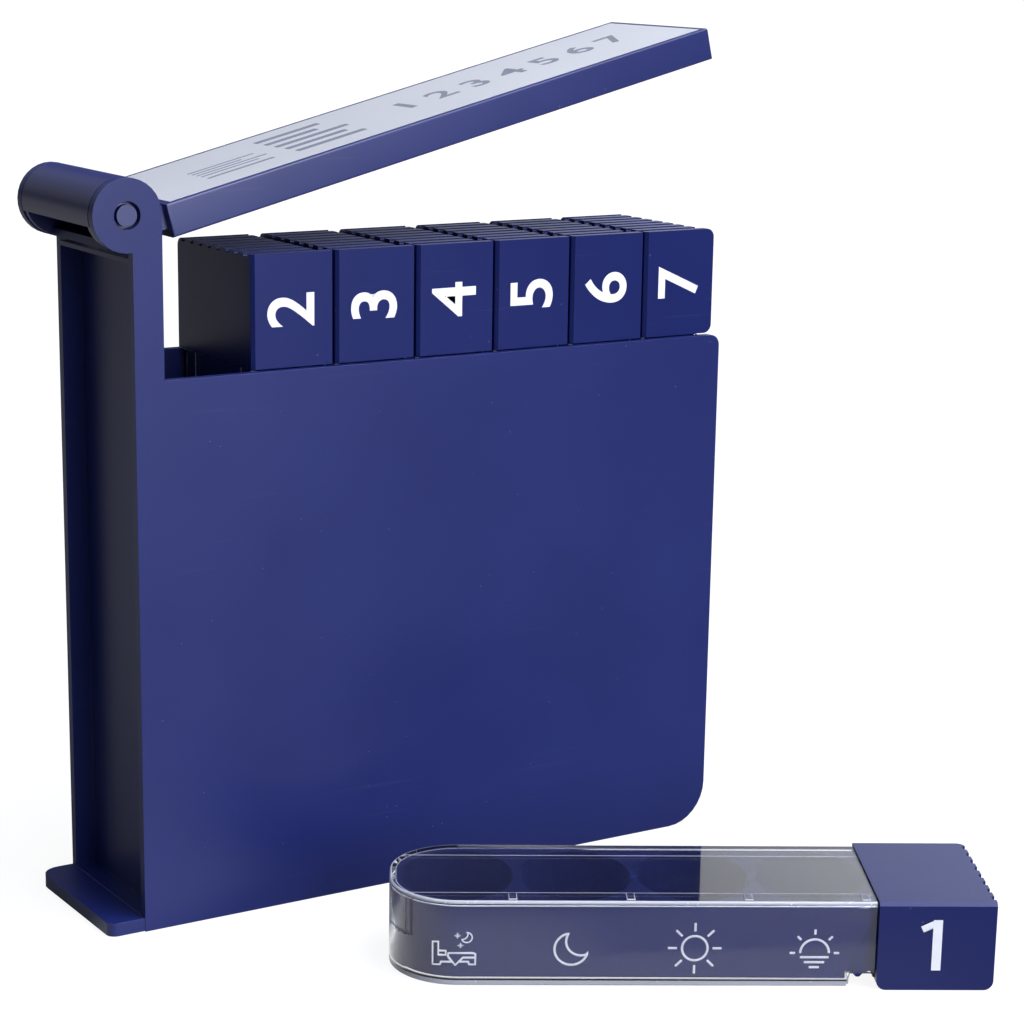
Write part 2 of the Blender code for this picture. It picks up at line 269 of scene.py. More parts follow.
def makeHandling():
    # Specks of dust and thin scratches in two directions
    group, start, end = newGroup("handling", [("Dust", 0.5), ("Scratch", 0.5)], ["Dust", "Scratch"])
    cells = addNode(group, "ShaderNodeTexVoronoi", Scale=420.0)
    group.links.new(objectPlace(group), cells.inputs["Vector"])
    speck = rangeNode(group, cells.outputs["Distance"], 0.05, 0.10, 1.0, 0.0)
    apart = group.nodes.new("ShaderNodeSeparateColor")
    group.links.new(cells.outputs["Color"], apart.inputs["Color"])
    rare = rangeNode(group, apart.outputs["Red"], 0.90, 0.93)
    dust = mathNode(group, "MULTIPLY", speck, rare)
    group.links.new(mathNode(group, "MULTIPLY", dust, start.outputs["Dust"]), end.inputs["Dust"])
    lines = []
    for turn, low in (((4, 8, 3), 0.735), ((-9, -5, 27), 0.755)):
        place = objectPlace(group, turn, (26.0, 2400.0, 900.0))
        streak = addNode(group, "ShaderNodeTexNoise", Scale=1.0, Detail=1.0, Roughness=0.4)
        group.links.new(place, streak.inputs["Vector"])
        lines.append(rangeNode(group, streak.outputs["Fac"], low, low + 0.03))
    both = mathNode(group, "MAXIMUM", *lines)
    group.links.new(mathNode(group, "MULTIPLY", both, start.outputs["Scratch"]), end.inputs["Scratch"])
    return group


mouldedSkin = makeMouldedSkin()
handling = makeHandling()


def newMaterial(name):
    made = bpy.data.materials.new(name)
    made.use_nodes = True
    tree = made.node_tree
    return made, tree, tree.nodes["Principled BSDF"]


def placeGroup(tree, group, **values):
    node = tree.nodes.new("ShaderNodeGroup")
    node.node_tree = group
    for name, value in values.items():
        node.inputs[name.replace("_", " ")].default_value = value
    return node


def mixColours(tree, share, first, second):
    node = tree.nodes.new("ShaderNodeMix")
    node.data_type = "RGBA"
    for label, value in (("A", first), ("B", second)):
        socket = [s for s in node.inputs if s.name == label and s.type == "RGBA"][0]
        if isinstance(value, tuple):
            socket.default_value = (*value, 1.0)
        else:
            tree.links.new(value, socket)
    tree.links.new(share, node.inputs["Factor"])
    return [s for s in node.outputs if s.type == "RGBA"][0]


def addBump(tree, shader, height, strength, distance):
    bump = addNode(tree, "ShaderNodeBump", Strength=strength, Distance=distance)
    tree.links.new(height, bump.inputs["Height"])
    tree.links.new(bump.outputs["Normal"], shader.inputs["Normal"])


navy = {
    "deep": (0.0078, 0.0150, 0.1150),
    "light": (0.0094, 0.0180, 0.1330),
    "dust": (0.42, 0.45, 0.58),
    "roughness": 0.33,
    "grainDepth": 0.012 * mm,
}


def makeNavyPlastic(name, roughness, dust, scratch, grain=1.0, shade=1.0, gloss=0.5):
    made, tree, shader = newMaterial(name)
    shader.inputs["Specular IOR Level"].default_value = gloss
    skin = placeGroup(tree, mouldedSkin)
    marks = placeGroup(tree, handling, Dust=dust, Scratch=scratch)
    deep, light = (tuple(shade * c for c in navy[tone]) for tone in ("deep", "light"))
    body = mixColours(tree, skin.outputs["Cloud"], deep, light)
    worn = mixColours(tree, mathNode(tree, "MULTIPLY", marks.outputs["Scratch"], 0.10), body, navy["dust"])
    dusty = mixColours(tree, marks.outputs["Dust"], worn, navy["dust"])
    tree.links.new(dusty, shader.inputs["Base Color"])
    varied = mathNode(tree, "MULTIPLY_ADD", skin.outputs["Cloud"], 0.05)
    varied.node.inputs[2].default_value = roughness
    rubbed = mathNode(tree, "MULTIPLY_ADD", marks.outputs["Scratch"], 0.12)
    tree.links.new(varied, rubbed.node.inputs[2])
    tree.links.new(rubbed, shader.inputs["Roughness"])
    if grain > 0:
        addBump(tree, shader, skin.outputs["Height"], 0.35 * grain, navy["grainDepth"])
    return made


clear = {
    "tint": (0.955, 0.960, 0.985),
    "roughness": 0.025,
    "shadowShare": 0.50,
    "edgeHighlightTint": (0.76, 0.78, 0.90),
    "edgeHighlightTransmission": 0.45,
}


def makeClearPlastic(name, body, transmission, roughness):
    made, tree, shader = newMaterial(name)
    marks = placeGroup(tree, handling, Dust=0.10, Scratch=0.35)
    dusty = mixColours(tree, marks.outputs["Dust"], body, (0.80, 0.80, 0.82))
    tree.links.new(dusty, shader.inputs["Base Color"])
    shader.inputs["Transmission Weight"].default_value = transmission
    shader.inputs["IOR"].default_value = 1.49
    hazy = mathNode(tree, "MAXIMUM", marks.outputs["Scratch"], marks.outputs["Dust"])
    rough = mathNode(tree, "MULTIPLY_ADD", hazy, 0.35)
    rough.node.inputs[2].default_value = roughness
    tree.links.new(rough, shader.inputs["Roughness"])
    addBump(tree, shader, hazy, 0.25, 0.02 * mm)
    rays = tree.nodes.new("ShaderNodeLightPath")
    solid = rangeNode(tree, rays.outputs["Is Shadow Ray"], 0.0, 1.0, 1.0, clear["shadowShare"])
    tree.links.new(solid, shader.inputs["Alpha"])
    return made


def makeInk(name, colour, roughness):
    made, tree, shader = newMaterial(name)
    skin = placeGroup(tree, mouldedSkin, Grain_Scale=4200.0, Cloud_Scale=300.0)
    shade = tuple(0.93 * c for c in colour)
    tree.links.new(mixColours(tree, skin.outputs["Cloud"], shade, colour), shader.inputs["Base Color"])
    varied = rangeNode(tree, skin.outputs["Height"], 0.3, 0.7, roughness, roughness + 0.1)
    tree.links.new(varied, shader.inputs["Roughness"])
    return made


def makeLabelSheet():
    made, tree, shader = newMaterial("label sheet")
    skin = placeGroup(tree, mouldedSkin, Grain_Scale=1500.0, Cloud_Scale=16.0)
    marks = placeGroup(tree, handling, Dust=0.25, Scratch=0.3)
    body = mixColours(tree, skin.outputs["Cloud"], (0.655, 0.665, 0.725), (0.695, 0.705, 0.765))
    tree.links.new(mixColours(tree, marks.outputs["Dust"], body, (0.35, 0.36, 0.42)), shader.inputs["Base Color"])
    tree.links.new(rangeNode(tree, skin.outputs["Cloud"], 0.0, 1.0, 0.30, 0.36), shader.inputs["Roughness"])
    addBump(tree, shader, skin.outputs["Height"], 0.2, 0.006 * mm)
    return made


smooth, dull = navy["roughness"] - 0.03, navy["roughness"] + 0.07
caseNavy = makeNavyPlastic("navy case plastic", navy["roughness"], 0.15, 0.12, shade=0.90, gloss=0.40)
lidNavy = makeNavyPlastic("navy lid plastic", smooth, 0.15, 0.2, shade=0.94, gloss=0.75)
# The caps' navy is darkened to 0.80: painted shade standing for the lid's shadow on the caps
capShadeNavy = makeNavyPlastic("navy tray plastic with painted lid shade", smooth, 0.15, 0.15, grain=0.05, shade=0.80, gloss=0.27)
bodyNavy = makeNavyPlastic("navy tray body plastic", dull, 0.15, 0.15, grain=0.0, shade=0.90, gloss=0.06)
# The same navy darkened to 0.30 inside the pockets: painted shade in the deep pockets, not a different plastic
pocketShadeNavy = makeNavyPlastic("navy pocket painted shade", dull, 0.15, 0.15, grain=0.0, shade=0.30, gloss=0.04)
clearPlastic = makeClearPlastic("clear plastic", clear["tint"], 1.0, clear["roughness"])
# Pale half-opaque plastic for the cover's edges: painted highlight, standing for light caught on the roundings
clearEdgeHighlight = makeClearPlastic("clear plastic painted edge highlight", clear["edgeHighlightTint"], clear["edgeHighlightTransmission"], 0.22)
whiteInk = makeInk("white ink", (0.86, 0.87, 0.93), 0.45)
greyInk = makeInk("grey ink", (0.20, 0.21, 0.27), 0.5)
labelSheet = makeLabelSheet()
print("materials ready")


# Day tray: cap, ridged grip end, tray body with four pockets, and the tooth

tray = {
    "length": 122.7 * mm,
    "depth": 36.0 * mm,
    "thickness": 19.0 * mm,
    "capLength": 24.2 * mm,
    "chamfer": 0.75 * mm,
    "backRound": 1.8 * mm,
    "cornerRound": 2.0 * mm,
    "ridges": 8,
    "ridgeMargin": 2.95 * mm,
    "ridgeGroove": 1.9 * mm,
    "ridgeDepth": 0.7 * mm,
    "ridgeStop": 2.6 * mm,
    "setback": 2.5 * mm,
    "bottom": 1.8 * mm,
    "recessTop": 3.3 * mm,
    "endRound": 13.0 * mm,
    "pockets": 4,
    "pocketPitch": 24.6 * mm,
    "firstPocket": 36.2 * mm,
    "pocketHalfLength": 11.7 * mm,
    "pocketHalfWidth": 14.7 * mm,
    "pocketFloor": 1.7 * mm,
    "pocketFillet": 4.0 * mm,
    "edge": 0.22 * mm,
    "recessStart": -30.4 * mm,
    "recessDepth": 9.0 * mm,
    "toothStart": -29.3 * mm,
    "toothEnd": -26.0 * mm,
    "toothBack": 3.7 * mm,
    "toothTip": 1.9 * mm,
    "toothSlope": 1.3 * mm,
}


def inPocket(place):
    for i in range(tray["pockets"]):
        alongX = (place.x + tray["firstPocket"] + i * tray["pocketPitch"]) / tray["pocketHalfLength"]
        alongY = (place.y - tray["depth"] / 2) / tray["pocketHalfWidth"]
        if math.hypot(alongX, alongY) < 1.01:
            return True
    return False


def modelTray(name, roundCorners):
    t = tray
    top = t["thickness"]
    piece = startBlock(name, (-t["capLength"], 0, 0), (0, t["depth"], top))
    roundEdges(
        piece,
        lambda a, b: at(a.y, 0) and at(b.y, 0) and at(a.z, top) and at(b.z, top),
        t["chamfer"], 1,
    )
    roundEdges(
        piece,
        lambda a, b: at(a.x, 0) and at(b.x, 0) and at(a.y, t["depth"]) and at(b.y, t["depth"]),
        t["backRound"], 6,
    )
    if roundCorners:
        roundEdges(
            piece,
            lambda a, b: at(a.z, 0) and at(b.z, 0) and at(a.x, b.x) and abs(a.y - b.y) > t["cornerRound"],
            t["cornerRound"], 7,
        )

    # The ridges stand between grooves and stop short of the underside
    frontMargin = t["ridgeMargin"] - t["ridgeGroove"] / 2
    step = startBlock("step", (-t["ridgeDepth"], frontMargin, -mm), (mm, t["depth"] + mm, t["ridgeStop"]))
    cutAway(piece, step)
    pitch = (t["depth"] - 2 * t["ridgeMargin"]) / (t["ridges"] - 1)
    for i in range(t["ridges"]):
        middle = t["ridgeMargin"] + i * pitch
        half = t["ridgeGroove"] / 2
        groove = startBlock("groove", (-t["ridgeDepth"], middle - half, -mm), (mm, middle + half, top + mm))
        roundEdges(groove, lambda a, b: a.x < 0 and b.x < 0 and abs(a.z - b.z) > top, 0.35 * mm, 2)
        cutAway(piece, groove)

    body = startBlock(
        "body",
        (-t["length"], t["setback"], t["bottom"]),
        (-t["capLength"] + mm, t["depth"] - t["setback"], top - t["bottom"]),
    )
    far = -t["length"]
    roundEdges(body, lambda a, b: at(a.x, far) and at(b.x, far) and at(a.y, b.y), t["endRound"], 20)
    joinOn(piece, body)

    # The tooth in a shallow recess under the front edge, where the cover has its notch
    recess = startBlock(
        "recess", (t["recessStart"], 0, 0), (-t["capLength"] - 0.3 * mm, t["recessDepth"], t["recessTop"]),
    )
    cutAway(piece, recess)
    tip = t["toothTip"]
    tooth = startBlock(
        "tooth",
        (t["toothStart"], t["setback"], tip),
        (t["toothEnd"], t["toothBack"], t["recessTop"] + 0.3 * mm),
    )
    roundEdges(tooth, lambda a, b: at(a.z, tip) and at(b.z, tip) and at(a.x, b.x), t["toothSlope"], 1)
    joinOn(piece, tooth)

    floor = t["bottom"] + t["pocketFloor"]
    height = top - t["bottom"] - floor + mm
    for i in range(t["pockets"]):
        centre = (-t["firstPocket"] - i * t["pocketPitch"], t["depth"] / 2, floor + height / 2)
        pocket = startDrum("pocket", t["pocketHalfWidth"], height, centre, sides=72)
        roundEdges(pocket, lambda a, b: at(a.z, floor) and at(b.z, floor), t["pocketFillet"], 8)
        pocket.location.x = centre[0] * (1 - t["pocketHalfLength"] / t["pocketHalfWidth"])
        pocket.scale.x = t["pocketHalfLength"] / t["pocketHalfWidth"]
        applyPlace(pocket)
        cutAway(piece, pocket)
    cleanMesh(piece, 0.2)
    softenEdges(piece, t["edge"], 2, 38)
    polish(piece)
    # The cap keeps the first material and the body takes the second. Faces inside the pockets take the third, which is
    # painted shade
    for material in (capShadeNavy, bodyNavy, pocketShadeNavy):
        piece.data.materials.append(material)
    for face in piece.data.polygons:
        if face.center.x < -t["capLength"] - 0.05 * mm:
            face.material_index = 2 if inPocket(face.center) else 1
    return piece


# Clear cover: a sleeve with a rounded far end, click bumps and a sprung tongue

cover = {
    "length": 124.2 * mm,
    "mouth": -24.5 * mm,
    "setback": 1.0 * mm,
    "step": 0.3 * mm,
    "wall": 1.2 * mm,
    "endRound": 14.5 * mm,
    "edge": 0.5 * mm,
    "innerEdge": 0.25 * mm,
    "notchLength": 6.2 * mm,
    "notchHeight": 3.2 * mm,
    "notchSlope": 1.2 * mm,
    "reliefDepth": 9.0 * mm,
    "frontLine": 6.0 * mm,
    "backLine": 28.2 * mm,
    "lineWidth": 0.22 * mm,
    "lineDepth": 0.18 * mm,
    "tongueFoot": 9.6 * mm,
    "bumpLength": 1.8 * mm,
    "bumpDepth": 3.6 * mm,
    "bumpHeight": 0.22 * mm,
    "firstBump": 26.6 * mm,
    "bumpPitch": 24.1 * mm,
    "bumpInset": 0.9 * mm,
    "bumpRoot": 0.3 * mm,
    "bumpRound": 0.18 * mm,
    "reliefRound": 1.5 * mm,
    "fineEdge": 0.07 * mm,
    "rimStrip": 0.65 * mm,
    "roundLean": (0.12, 0.985),
    "uprightLean": 0.5,
}


def roundedSleeve(name, low, high, endRound, edge, segments):
    piece = startBlock(name, low, high)
    roundEdges(piece, lambda a, b: at(a.x, low[0]) and at(b.x, low[0]) and at(a.y, b.y), endRound, 24)
    roundEdges(
        piece,
        lambda a, b: at(a.z, b.z) and min(a.x, b.x) < high[0] - 0.1 * mm,
        edge, segments,
    )
    return piece


def dressEdges(piece, material, floorTop, rimFoot):
    # The roundings, the rim and the ends of the level plates, where light is lost, take the second material: a pale
    # half-opaque tint that is painted highlight on the edges
    for height in (floorTop, rimFoot):
        selectFaces(piece, lambda centre, normal: True)
        bpy.ops.mesh.bisect(plane_co=(0, 0, height), plane_no=(0, 0, 1))
        bpy.ops.object.mode_set(mode="OBJECT")
    piece.data.materials.append(material)
    leastLean, mostLean = cover["roundLean"]
    for face in piece.data.polygons:
        lean = abs(face.normal.z)
        upright = lean < cover["uprightLean"]
        low = upright and face.center.z < floorTop
        high = upright and face.center.z > rimFoot
        if leastLean < lean < mostLean or low or high:
            face.material_index = 1


def modelCover():
    c = cover
    depth = tray["depth"]
    low = (-c["length"], c["setback"], c["step"])
    high = (c["mouth"], depth - c["setback"], tray["thickness"] - c["step"])
    piece = roundedSleeve("coverDraft", low, high, c["endRound"], c["edge"], 4)
    innerLow = tuple(v + c["wall"] for v in low)
    innerHigh = (c["mouth"] + mm, high[1] - c["wall"], high[2] - c["wall"])
    cutAway(piece, roundedSleeve("cavity", innerLow, innerHigh, c["endRound"] - c["wall"], c["innerEdge"], 3))

    notchStart = c["mouth"] - c["notchLength"]
    notchTop = c["notchHeight"]
    notch = startBlock(
        "notch", (notchStart, -mm, -mm), (mm + c["mouth"], c["setback"] + c["wall"] + 0.3 * mm, notchTop),
    )
    selectEdges(
        notch,
        lambda a, b: at(a.x, notchStart) and at(b.x, notchStart) and at(a.z, notchTop) and at(b.z, notchTop),
    )
    bpy.ops.transform.translate(value=(c["notchSlope"], 0, 0))
    bpy.ops.object.mode_set(mode="OBJECT")
    cutAway(piece, notch)

    # Behind the notch the floor of the sleeve is cut back, clear of the tooth
    reach = c["reliefDepth"]
    relief = startBlock(
        "relief",
        (notchStart + c["notchSlope"], -mm, -mm),
        (mm + c["mouth"], reach, c["step"] + c["wall"] + 0.2 * mm),
    )
    roundEdges(
        relief,
        lambda a, b: at(a.y, reach) and at(b.y, reach) and at(a.x, b.x) and a.x < c["mouth"],
        c["reliefRound"], 4,
    )
    cutAway(piece, relief)

    # Two fine lines along the top end in the slit round the sprung tongue
    half = c["lineWidth"] / 2
    top = high[2]
    for line in (c["frontLine"], c["backLine"]):
        groove = startBlock(
            "groove", (low[0] - mm, line - half, top - c["lineDepth"]), (c["mouth"] + mm, line + half, top + mm),
        )
        cutAway(piece, groove)
        leg = startBlock(
            "leg", (low[0] - mm, line - half, c["tongueFoot"]), (low[0] + 6 * mm, line + half, top - c["wall"]),
        )
        cutAway(piece, leg)
    foot = startBlock(
        "foot",
        (low[0] - mm, c["frontLine"] - half, c["tongueFoot"] - c["lineWidth"]),
        (low[0] + 6 * mm, c["backLine"] + half, c["tongueFoot"] + half),
    )
    cutAway(piece, foot)
    cleanMesh(piece, 0.2)
    softenEdges(piece, c["fineEdge"], 2, 40)

    for i in range(tray["pockets"]):
        middle = -c["firstBump"] - i * c["bumpPitch"]
        bumpFront = c["setback"] + c["bumpInset"]
        bumpLow = (middle - c["bumpLength"] / 2, bumpFront, top - c["bumpRoot"])
        bumpHigh = (middle + c["bumpLength"] / 2, bumpFront + c["bumpDepth"], top + c["bumpHeight"])
        bump = startBlock("bump", bumpLow, bumpHigh)
        roundEdges(bump, lambda a, b: at(a.z, bumpHigh[2]) and at(b.z, bumpHigh[2]), c["bumpRound"], 3)
        joinOn(piece, bump)
    polish(piece, 35)
    piece.data.materials.append(clearPlastic)
    dressEdges(piece, clearEdgeHighlight, c["step"] + c["wall"], top - c["rimStrip"])
    return piece


plainTray = modelTray("plainTray", False)
endTray = modelTray("endTray", True)
print("trays modelled:", len(plainTray.data.polygons), "and", len(endTray.data.polygons), "faces")
clearCover = modelCover()
print("cover modelled:", len(clearCover.data.polygons), "faces")


# Where each module is, from the frame

lyingTurn = math.radians(-30.3)


def modulePlace(day):
    low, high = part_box("tray_" + day)
    if day == "monday":
        corner = Vector((lyingCorner(), low.y, low.z))
        return Matrix.Translation(corner) @ Matrix.Rotation(lyingTurn, 4, "Z")
    return Matrix.Translation((high.x, low.y, high.z)) @ Matrix.Rotation(-math.pi / 2, 4, "Y")


def lyingCorner():
    # The far end's round meets the low X side, so the corner follows from its centre
    radius = cover["endRound"]
    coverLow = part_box("cover_monday")[0]
    centre = Vector((-cover["length"] + radius, cover["setback"] + radius, 0))
    turned = Matrix.Rotation(lyingTurn, 3, "Z") @ centre
    return coverLow.x + radius - turned.x


# Numbers on the caps and signs for the times of day, in white ink

ink = {
    "numberSize": 15.5 * mm,
    "bold": 0.20 * mm,
    "thickness": 0.05 * mm,
    "stroke": 0.25 * mm,
    "flagReach": 2.2 * mm,
    "flagStroke": 0.75 * mm,
    "numberDrop": 0.3 * mm,
    "bedLow": 4.5 * mm,
    "bedLeft": -115.1 * mm,
    "moonPlace": (-86.8 * mm, 7.9 * mm),
    "sunPlace": (-61.5 * mm, 8.15 * mm),
    "risePlace": (-36.85 * mm, 7.2 * mm),
}


def inkNumber(text, name):
    settle()
    bpy.ops.object.text_add(location=(0, 0, 0))
    piece = bpy.context.object
    piece.name = name
    words = piece.data
    words.body = text
    words.size = ink["numberSize"]
    words.extrude = ink["thickness"] / 2
    words.offset = ink["bold"]
    words.align_x = "CENTER"
    words.align_y = "CENTER"
    bpy.ops.object.convert(target="MESH")
    piece.location = (-tray["capLength"] / 2, -ink["thickness"] / 2, tray["thickness"] / 2 - ink["numberDrop"])
    piece.rotation_euler = (math.pi / 2, 0, 0)
    cleanMesh(applyPlace(piece), 0.5)
    if text == "1":
        corners = [point.co for point in piece.data.vertices]
        left, top = min(v.x for v in corners), max(v.z for v in corners)
        reach = ink["flagReach"]
        thick = ink["flagStroke"]
        flag = inkPath([(left - reach, top - reach * 0.95), (left + 0.6 * mm, top - thick)], stroke=thick)
        piece = joinPieces([piece, flag], name)
    return piece


def inkPath(points, closed=False, stroke=ink["stroke"]):
    # A pen stroke on the tray's front wall, drawn in X and Z
    path = bpy.data.curves.new("stroke", "CURVE")
    path.dimensions = "3D"
    path.bevel_depth = stroke
    path.bevel_resolution = 2
    path.use_fill_caps = True
    line = path.splines.new("POLY")
    line.points.add(len(points) - 1)
    for point, (x, z) in zip(line.points, points):
        point.co = (x, 0, z, 1)
    line.use_cyclic_u = closed
    piece = bpy.data.objects.new("stroke", path)
    bpy.context.scene.collection.objects.link(piece)
    takeUp(piece)
    bpy.ops.object.convert(target="MESH")
    piece.scale.y = ink["thickness"] / stroke / 1.5
    return applyPlace(piece)


def arcPoints(centre, radius, start, end, count):
    angles = [math.radians(start + (end - start) * i / count) for i in range(count + 1)]
    return [(centre[0] + radius * math.cos(a), centre[1] + radius * math.sin(a)) for a in angles]


def joinPieces(pieces, name):
    settle()
    for piece in pieces:
        piece.select_set(True)
    bpy.context.view_layer.objects.active = pieces[0]
    bpy.ops.object.join()
    joined = bpy.context.object
    joined.name = name
    return joined


def crescent(centre, radius, bitePlace, start, end, stroke=ink["stroke"]):
    outer = arcPoints(centre, radius, start, end, 26)
    biteCentre = (centre[0] + bitePlace[0], centre[1] + bitePlace[1])
    first = math.degrees(math.atan2(outer[-1][1] - biteCentre[1], outer[-1][0] - biteCentre[0]))
    last = math.degrees(math.atan2(outer[0][1] - biteCentre[1], outer[0][0] - biteCentre[0]))
    if last < first - 180:
        last += 360
    if last > first + 180:
        last -= 360
    reach = math.dist(outer[0], biteCentre)
    inner = arcPoints(biteCentre, reach, first, last, 16)
    return inkPath(outer + inner[1:-1], closed=True, stroke=stroke)


def star(centre, reach):
    points = []
    for i in range(8):
        radius = reach if i % 2 == 0 else reach * 0.34
        angle = math.radians(45 * i)
        points.append((centre[0] + radius * math.cos(angle), centre[1] + radius * math.sin(angle)))
    piece = inkPath(points, closed=True, stroke=0.09 * mm)
    heart = inkPath([(centre[0] - reach * 0.2, centre[1]), (centre[0] + reach * 0.2, centre[1])], stroke=0.24 * mm)
    return [piece, heart]


def rays(centre, inner, outer, angles):
    made = []
    for angle in angles:
        c, s = math.cos(math.radians(angle)), math.sin(math.radians(angle))
        ends = [(centre[0] + reach * c, centre[1] + reach * s) for reach in (inner, outer)]
        made.append(inkPath(ends))
    return made


def drawSigns():
    left = ink["bedLeft"]
    low = ink["bedLow"]

    def spot(x, z):
        return left + x * mm, low + z * mm

    strokes = [
        inkPath([
            spot(2.0, 2.1), spot(1.2, 2.1), spot(1.2, 4.95), spot(0, 4.95),
            spot(0, 0), spot(1.55, 0), spot(1.8, 0.6), spot(4.0, 0.6),
        ]),
        inkPath([spot(1.2, 2.1), spot(2.7, 2.1), spot(2.7, 3.0), spot(1.2, 3.0)]),
        inkPath([
            spot(5.5, 0.6), spot(7.25, 0.6), spot(7.45, 0), spot(8.7, 0), spot(8.7, 2.25), spot(8.2, 2.5),
            spot(3.25, 2.5), spot(3.15, 1.8), spot(3.5, 1.3), spot(4.65, -0.15), spot(6.15, 1.5), spot(8.6, 1.5),
        ]),
        crescent(spot(6.9, 5.9), 1.1 * mm, (-0.95 * mm, 0.75 * mm), -157, 96, 0.15 * mm),
    ]
    strokes += star(spot(5.05, 6.3), 0.64 * mm)
    strokes += star(spot(5.65, 4.15), 0.60 * mm)
    strokes.append(crescent(ink["moonPlace"], 3.45 * mm, (2.0 * mm, 1.7 * mm), 100, 350))
    sun = ink["sunPlace"]
    strokes.append(inkPath(arcPoints(sun, 2.62 * mm, 0, 352.5, 47), closed=True))
    strokes += rays(sun, 3.65 * mm, 5.5 * mm, range(0, 360, 45))
    rise = ink["risePlace"]
    strokes.append(inkPath(arcPoints(rise, 2.95 * mm, 0, 180, 24)))
    strokes += rays(rise, 4.0 * mm, 5.1 * mm, range(0, 181, 45))
    for drop, half in ((0.92 * mm, 2.95 * mm), (2.0 * mm, 2.1 * mm), (3.08 * mm, 1.05 * mm)):
        strokes.append(inkPath([(rise[0] - half, rise[1] - drop), (rise[0] + half, rise[1] - drop)]))
    signs = joinPieces(strokes, "signs_monday")
    signs.location.y = tray["setback"]
    return applyPlace(signs)


# Setting out the seven modules

for number, day in enumerate(dayNames, start=1):
    place = modulePlace(day)
    ends = day in ("monday", "sunday")
    body = "case" if day == "monday" else "tray_" + day
    made = copyPiece(endTray if ends else plainTray, "dayTray_" + day, place)
    dress(made, None, body)
    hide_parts("tray_" + day)
    sleeve = copyPiece(clearCover, "dayCover_" + day, place)
    dress(sleeve, None, "cover_" + day)
    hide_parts("cover_" + day)
    mark = inkNumber(str(number), "number_" + day)
    mark.matrix_world = place
    dress(applyPlace(mark), whiteInk, body)
signs = drawSigns()
signs.matrix_world = modulePlace("monday")
dress(applyPlace(signs), whiteInk, "case")
for draft in (plainTray, endTray, clearCover):
    bpy.data.objects.remove(draft, do_unlink=True)
print("seven modules set out")


# Case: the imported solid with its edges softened

case = {
    "edge": 0.45 * mm,
}

caseShell = copyNode("case", "caseShell")
softenEdges(caseShell, case["edge"], 3, 40)
polish(caseShell)
dress(caseShell, caseNavy, "case")
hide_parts("case")
print("case softened:", len(caseShell.data.polygons), "faces")


# Lid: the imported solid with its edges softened, and plain marks on its label

lid = {
    "edge": 0.28 * mm,
    "turn": math.radians(14.2),
    "hingeHeight": 153.2 * mm,
    "labelTop": -0.3 * mm,
    "barrelRadius": 7.6 * mm,
    "barrelWall": 1.6 * mm,
    "barrelHalf": 17.3 * mm,
    "wrapStart": math.radians(36),
    "wrapEnd": math.radians(118),
    "wrapSteps": 12,
    "trunnionRadius": 2.45 * mm,
    "trunnionFace": 2.22 * mm,
    "trunnionEnd": 19.5 * mm,
    "ringDepth": 1.4 * mm,
}


def lidPlace():
    hinge = Vector((-74.9 * mm, 0, lid["hingeHeight"]))
    return Matrix.Translation(hinge) @ Matrix.Rotation(-lid["turn"], 4, "Y")


def barrelWrap():
    # The barrel's shell goes on round under the axis
    outer, wall, half = lid["barrelRadius"], lid["barrelWall"], lid["barrelHalf"]
    strip = startBlock("barrelWrap", (outer - wall, -half, 0), (outer, half, 0.02 * mm))
    selectFaces(strip, lambda centre, normal: normal.z < -0.9)
    bpy.ops.mesh.select_all(action="INVERT")
    bpy.ops.mesh.delete(type="FACE")
    bpy.ops.mesh.select_all(action="SELECT")
    sweep = lid["wrapEnd"] - lid["wrapStart"]
    bpy.ops.mesh.spin(steps=lid["wrapSteps"], angle=sweep, center=(0, 0, 0), axis=(0, -1, 0))
    bpy.ops.mesh.select_all(action="SELECT")
    bpy.ops.mesh.normals_make_consistent(inside=False)
    bpy.ops.object.mode_set(mode="OBJECT")
    strip.matrix_world = lidPlace() @ Matrix.Rotation(lid["wrapStart"], 4, "Y")
    return applyPlace(strip)


def trunnionRing(side):
    ends = sorted((side * (lid["trunnionEnd"] - lid["ringDepth"]), side * (lid["trunnionEnd"] + mm)))
    middle, height = sum(ends) / 2, ends[1] - ends[0]
    turn = (math.pi / 2, 0, 0)
    ring = startDrum("ring", lid["trunnionRadius"] + 0.3 * mm, height, (0, middle, 0), turn)
    cutAway(ring, startDrum("core", lid["trunnionFace"], height + mm, (0, middle, 0), turn))
    ring.matrix_world = lidPlace()
    return applyPlace(ring)


lidShell = copyNode("lid", "lidShell")
joinOn(lidShell, barrelWrap())
for side in (-1, 1):
    cutAway(lidShell, trunnionRing(side))
cleanMesh(lidShell)
softenEdges(lidShell, lid["edge"], 3, 40)
polish(lidShell)
dress(lidShell, lidNavy, "lid")
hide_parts("lid")

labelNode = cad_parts["lid_label"]
labelNode.data.materials.clear()
labelNode.data.materials.append(labelSheet)


# Bars on the label: start and end along the lid, place across it, and width, in mm
label = {
    "thickness": 0.03 * mm,
    "fineBars": [
        (24, 40, -9.0, 1.2), (24, 38, -5.6, 0.8), (24, 41, -3.4, 0.8), (24, 36, -1.2, 0.8), (24, 40, 1.0, 0.8),
    ],
    "wideBars": [
        (45, 62, -10.5, 2.2), (45, 60, -5.6, 2.2), (45, 63, -0.7, 2.2), (45, 58, 4.2, 2.2), (45, 61, 9.1, 2.2),
    ],
    "numbersPlace": 106 * mm,
    "numbersSize": 12 * mm,
    "bold": 0.2 * mm,
}


